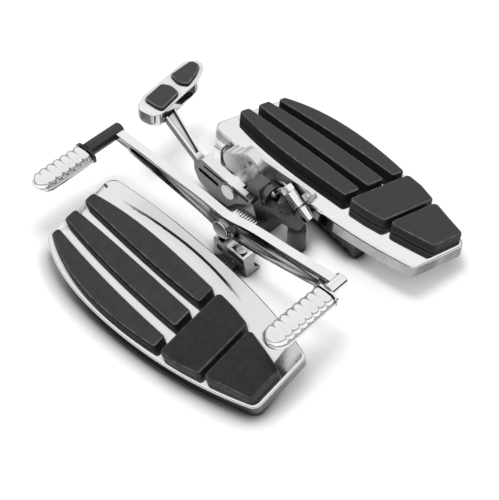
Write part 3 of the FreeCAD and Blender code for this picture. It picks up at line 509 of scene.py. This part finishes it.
class BOARDS_OT_pads(bpy.types.Operator):
    """Give the floorboard pads their moulded rubber, shiny at the top edges with a painted highlight there, and dull
    down the sides, which on the blocks are painted darker
    """

    bl_idname = "boards.pads"
    bl_label = "Rubber pads"

    def execute(self, context):
        finish = context.scene.board_finish
        for side, strip_gloss, block_gloss in (("left", 0.5, 0.27), ("right", 0.72, 0.65)):
            top = partial(edged_rubber, color=finish.rubber, roughness=finish.rubber_roughness)
            dress(layered(side + "_pad_rubber", side_to_top,
                          partial(rubber, color=finish.rubber, roughness=0.5, specular=0.1),
                          partial(top, specular=strip_gloss)),
                  side + "_inner_strip", side + "_middle_strip", side + "_outer_strip")
            for node in (side + "_wide_block", side + "_heel_block"):
                dress(layered(node + "_rubber", side_to_top, block_side(node, finish),
                              partial(top, specular=block_gloss)), node)
        return {"FINISHED"}


class BOARDS_OT_lever(bpy.types.Operator):
    """Finish the shift lever, its collar and its sleeve"""

    bl_idname = "boards.lever"
    bl_label = "Shift lever"

    def execute(self, context):
        finish = context.scene.board_finish
        chrome = partial(plate, color=finish.chrome, roughness=finish.chrome_roughness)
        # The pockets facing -X take painted dark and bright reflection streaks.
        pocket = partial(reflection_streaked_plate, color=finish.pocket, roughness=0.1)
        dress(layered("lever_plate", toward("X", 0.75, 0.95, sign=-1.0), partial(chrome, distance=0.012), pocket),
              "shift_lever")
        dress(finished("collar_plate", chrome), "heel_collar")
        dress(finished("sleeve_rubber_skin", partial(rubber, color=finish.sleeve, roughness=0.16, specular=0.6)),
              "toe_sleeve")
        return {"FINISHED"}


def peg_section(half, crown, wave, depth):
    """Outline of a peg across its length: tray with a raised rim, groove, then a body with ribs across it."""
    seam, rim, groove, body_height, count = 0.0042, 0.002, 0.001, 0.0096, 34
    inner = max(half - rim, 0.0004)
    body = max(inner - depth * wave * 0.5, 0.0003)
    lip = ((0.0006, 0.0), (0.0, 0.0007), (0.0, seam - 0.0012), (0.0005, seam - 0.0003), (0.001, seam),
           (0.0015, seam - 0.0003))
    left = [(inset - half, z) for inset, z in lip] + [(-inner, seam - groove * crown)]
    points = list(left)
    for i in range(count + 1):
        share = -math.cos(math.pi * i / count)
        rise = (1 - abs(share) ** 7) ** 0.36 * (1 - 0.13 * share * share)
        sunk = depth * wave * (0.3 + 0.3 * share ** 4)
        height = (body_height + groove - sunk) * crown * rise
        points.append((body * share, seam - groove * crown + height))
    points += [(-y, z) for y, z in reversed(left)]
    return points


def ribbed_peg(node, pitch, depth, shorter, material):
    """Foot peg in the place of its node: tray with a rim, round tip and ribs across its top."""
    straight_steps, tip_steps = 150, 44
    bulge, widest = 0.055, 0.6
    root_crown, root_length = 0.55, 0.003
    low, high = [Vector(corner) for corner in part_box(node)]
    length = high.x - low.x - shorter
    middle = (low.y + high.y) / 2
    half_root = (high.y - low.y) / 2
    tip = half_root * 1.05
    reaches = [(length - tip) * i / straight_steps for i in range(straight_steps)]
    reaches += [length - tip + tip * math.sin(math.pi / 2 * i / tip_steps) for i in range(tip_steps + 1)]
    mesh = bmesh.new()
    rings = []
    for reach in reaches:
        left = max(length - reach, 0.00003)
        half = half_root * (1.0 + bulge * math.sin(math.pi / 2 * min(reach / length / widest, 1.0)))
        crown = min(1.0, root_crown + (1.0 - root_crown) * reach / root_length)
        if left < tip:
            round_off = math.sqrt(tip ** 2 - (tip - left) ** 2) / tip
            half *= round_off
            crown *= round_off ** 0.8
        ribbed = reach >= pitch * 0.3 and left >= tip * 0.75
        wave = (0.5 + 0.5 * math.cos(2 * math.pi * reach / pitch)) ** 1.2 if ribbed else 0.0
        rings.append([mesh.verts.new((high.x - reach, middle + y, low.z + z))
                      for y, z in peg_section(max(half, 0.0012), crown, wave, depth)])
    for before, after in zip(rings, rings[1:]):
        for i in range(len(before)):
            j = (i + 1) % len(before)
            mesh.faces.new((before[i], before[j], after[j], after[i]))
    mesh.faces.new(rings[0])
    mesh.faces.new(list(reversed(rings[-1])))
    bmesh.ops.recalc_face_normals(mesh, faces=mesh.faces)
    data = mesh_data(node + "_ribbed", mesh)
    data.shade_smooth()
    data.set_sharp_from_angle(angle=math.radians(60))
    data.materials.append(material)
    made = in_scene(node + "_ribbed", data)
    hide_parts(node)
    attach(made, "shifter")


class BOARDS_OT_pegs(bpy.types.Operator):
    """Shape the toe and heel pegs with their ribs"""

    bl_idname = "boards.pegs"
    bl_label = "Ribbed pegs"

    def execute(self, context):
        finish = context.scene.board_finish
        peg = context.scene.board_pegs
        bright = finished("peg_plate", partial(soft_plate, color=finish.chrome, roughness=0.27))
        for node, shorter in (("toe_peg", peg.toe_shorter), ("heel_peg", 0.0)):
            ribbed_peg(node, peg.rib_pitch, peg.rib_depth, shorter, bright)
        return {"FINISHED"}


class BOARDS_OT_pedal(bpy.types.Operator):
    """Finish the brake pedal and its two inserts"""

    bl_idname = "boards.pedal"
    bl_label = "Brake pedal"

    def execute(self, context):
        finish = context.scene.board_finish
        chrome = partial(plate, color=finish.chrome, roughness=finish.chrome_roughness, distance=0.02, shut=0.5,
                         open_at=0.95)
        side = partial(satin, color=finish.pedal_side, roughness=0.3)
        dress(layered("pedal_plate", toward("X", 0.8, 0.95, sign=-1.0), chrome, side), "brake_pedal")
        insert = partial(edged_rubber, color=finish.insert, roughness=0.36, specular=0.45)
        dress(finished("insert_rubber_grain", insert), "brake_insert_left", "brake_insert_right")
        return {"FINISHED"}


class BOARDS_OT_brackets(bpy.types.Operator):
    """Finish rails, mounts, the silver casting and the rubber foot"""

    bl_idname = "boards.brackets"
    bl_label = "Brackets"

    def execute(self, context):
        finish = context.scene.board_finish
        black = partial(paint, color=finish.paint, roughness=0.4)
        dress(finished("left_rail_black", black), "left_support")
        dress(layered("right_rail_black", lambda g: g.reach("Y").ramp((0.095, 0.0), (0.1, 1.0)), black,
                      partial(plate, color=finish.chrome, roughness=0.15)), "right_support")
        dress(finished("carrier_black", black), "foot_carrier")
        cut = partial(satin, stretch=(1.0, 12.0, 1.0))
        dress(layered("mount_cut_steel", toward("Z", 0.6, 0.9), partial(cut, color=finish.mount, roughness=0.3),
                      partial(plate, color=finish.casting, roughness=0.12)), "left_mount")
        dress(finished("mount_dark_steel", partial(cut, color=finish.dark_mount, roughness=0.34)), "right_mount")
        dress(finished("casting_silver", partial(casting, color=finish.casting, roughness=0.36)), "right_casting")
        dress(finished("foot_rubber_skin", partial(rubber, color=finish.sleeve, roughness=0.3, specular=0.5)),
              "rubber_foot")
        return {"FINISHED"}


class BOARDS_OT_fasteners(bpy.types.Operator):
    """Finish pins, screws, pivots and the ball jointed fitting"""

    bl_idname = "boards.fasteners"
    bl_label = "Fasteners and fitting"

    def execute(self, context):
        finish = context.scene.board_finish
        dress(finished("zinc_plate", partial(satin, color=finish.steel, roughness=0.22)),
              "left_hinge_pins", "right_hinge_pins", "left_mount_screw", "toe_stud", "casting_bolts",
              "brake_pivot_bolt")
        dress(finished("bright_turned_steel", partial(plate, color=finish.chrome, roughness=0.06)),
              "heel_bolt", "shift_pivot_bolt", "ball_joint", "fitting_nut", "fitting_barrel", "fitting_cap")
        return {"FINISHED"}


class BOARDS_OT_spring(bpy.types.Operator):
    """Wind the brake pedal's return spring"""

    bl_idname = "boards.spring"
    bl_label = "Return spring"

    def execute(self, context):
        points_in_turn = 24
        finish = context.scene.board_finish
        spring = context.scene.board_spring
        low, high = [Vector(corner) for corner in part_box("return_spring")]
        middle = (low + high) / 2
        start = low.y + spring.wire / 2
        length = high.y - low.y - spring.wire
        radius = (high.x - low.x - spring.wire) / 2
        path = bpy.data.curves.new("return_spring_wire", "CURVE")
        path.dimensions = "3D"
        path.bevel_depth = spring.wire / 2
        path.bevel_resolution = 4
        path.resolution_u = 2
        steps = spring.coils * points_in_turn
        line = path.splines.new("NURBS")
        line.points.add(steps)
        for i in range(steps + 1):
            turn = 2 * math.pi * i / points_in_turn
            line.points[i].co = (middle.x + radius * math.cos(turn), start + length * i / steps,
                                 middle.z + radius * math.sin(turn), 1.0)
        line.order_u = 3
        line.use_endpoint_u = True
        bright = partial(plate, color=finish.chrome, roughness=0.06, distance=0.0015)
        path.materials.append(finished("spring_wire_steel", bright))
        coil = in_scene("return_spring_wire", path)
        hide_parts("return_spring")
        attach(coil, "brackets")
        return {"FINISHED"}


class BOARDS_OT_stage(bpy.types.Operator):
    """Set up floor, studio light and camera"""

    bl_idname = "boards.stage"
    bl_label = "Stage"

    def execute(self, context):
        scene = context.scene
        stage = scene.board_stage
        scene.view_settings.view_transform = "Standard"
        sheet = bmesh.new()
        bmesh.ops.create_grid(sheet, x_segments=2, y_segments=2, size=FLOOR_HALF_SIZE)
        floor = in_scene("floor", mesh_data("floor", sheet))
        floor.location.z = FLOOR_HEIGHT
        floor.data.materials.append(finished("floor_paper", partial(floor_paper, color=stage.floor,
                                                                    glow=stage.floor_glow)))
        lamp = bpy.data.lights.new("soft_lamp", "AREA")
        lamp.shape = "DISK"
        lamp.size = LAMP_SIZE
        lamp.energy = stage.lamp_power
        shine = in_scene("soft_lamp", lamp)
        shine.visible_glossy = False
        shine.location = LAMP_PLACE
        shine.rotation_euler = (-shine.location).to_track_quat("-Z", "Y").to_euler()
        scene.world = bpy.data.worlds.new("studio")
        surfaced(scene.world, "OutputWorld", partial(studio_sky, level=stage.sky_level))
        eye = bpy.data.cameras.new("camera")
        eye.lens = stage.lens
        eye.clip_end = CAMERA_CLIP_END
        camera = in_scene("camera", eye)
        camera.location = stage.camera_place
        look = Vector(stage.camera_target) - Vector(stage.camera_place)
        turn = look.to_track_quat("-Z", "Y").to_matrix() @ Matrix.Rotation(CAMERA_ROLL, 3, "Z")
        camera.rotation_euler = turn.to_euler()
        scene.camera = camera
        return {"FINISHED"}


GROUPS = {
    "board_finish": FinishSettings,
    "board_pegs": PegSettings,
    "board_spring": SpringSettings,
    "board_stage": StageSettings,
}
STEPS = (BOARDS_OT_decks, BOARDS_OT_pads, BOARDS_OT_lever, BOARDS_OT_pegs, BOARDS_OT_pedal, BOARDS_OT_brackets,
         BOARDS_OT_fasteners, BOARDS_OT_spring, BOARDS_OT_stage)


class BOARDS_PT_panel(bpy.types.Panel):
    """Lists the sizes and finishes, and the steps that use them"""

    bl_idname = "BOARDS_PT_panel"
    bl_label = "Floorboards"
    bl_space_type = "VIEW_3D"
    bl_region_type = "UI"
    bl_category = "Floorboards"

    def draw(self, context):
        for key, settings in GROUPS.items():
            box = self.layout.box()
            for name in settings.__annotations__:
                box.prop(getattr(context.scene, key), name)
        for step in STEPS:
            self.layout.operator(step.bl_idname)


CLASSES = tuple(GROUPS.values()) + STEPS + (BOARDS_PT_panel,)


def register():
    for cls in CLASSES:
        bpy.utils.register_class(cls)
    for key, settings in GROUPS.items():
        setattr(bpy.types.Scene, key, bpy.props.PointerProperty(type=settings))


def unregister():
    for key in GROUPS:
        delattr(bpy.types.Scene, key)
    for cls in reversed(CLASSES):
        bpy.utils.unregister_class(cls)


def main():
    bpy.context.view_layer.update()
    register()
    for step in STEPS:
        group, name = step.bl_idname.split(".")
        getattr(getattr(bpy.ops, group), name)()


if __name__ == "__main__":
    main()
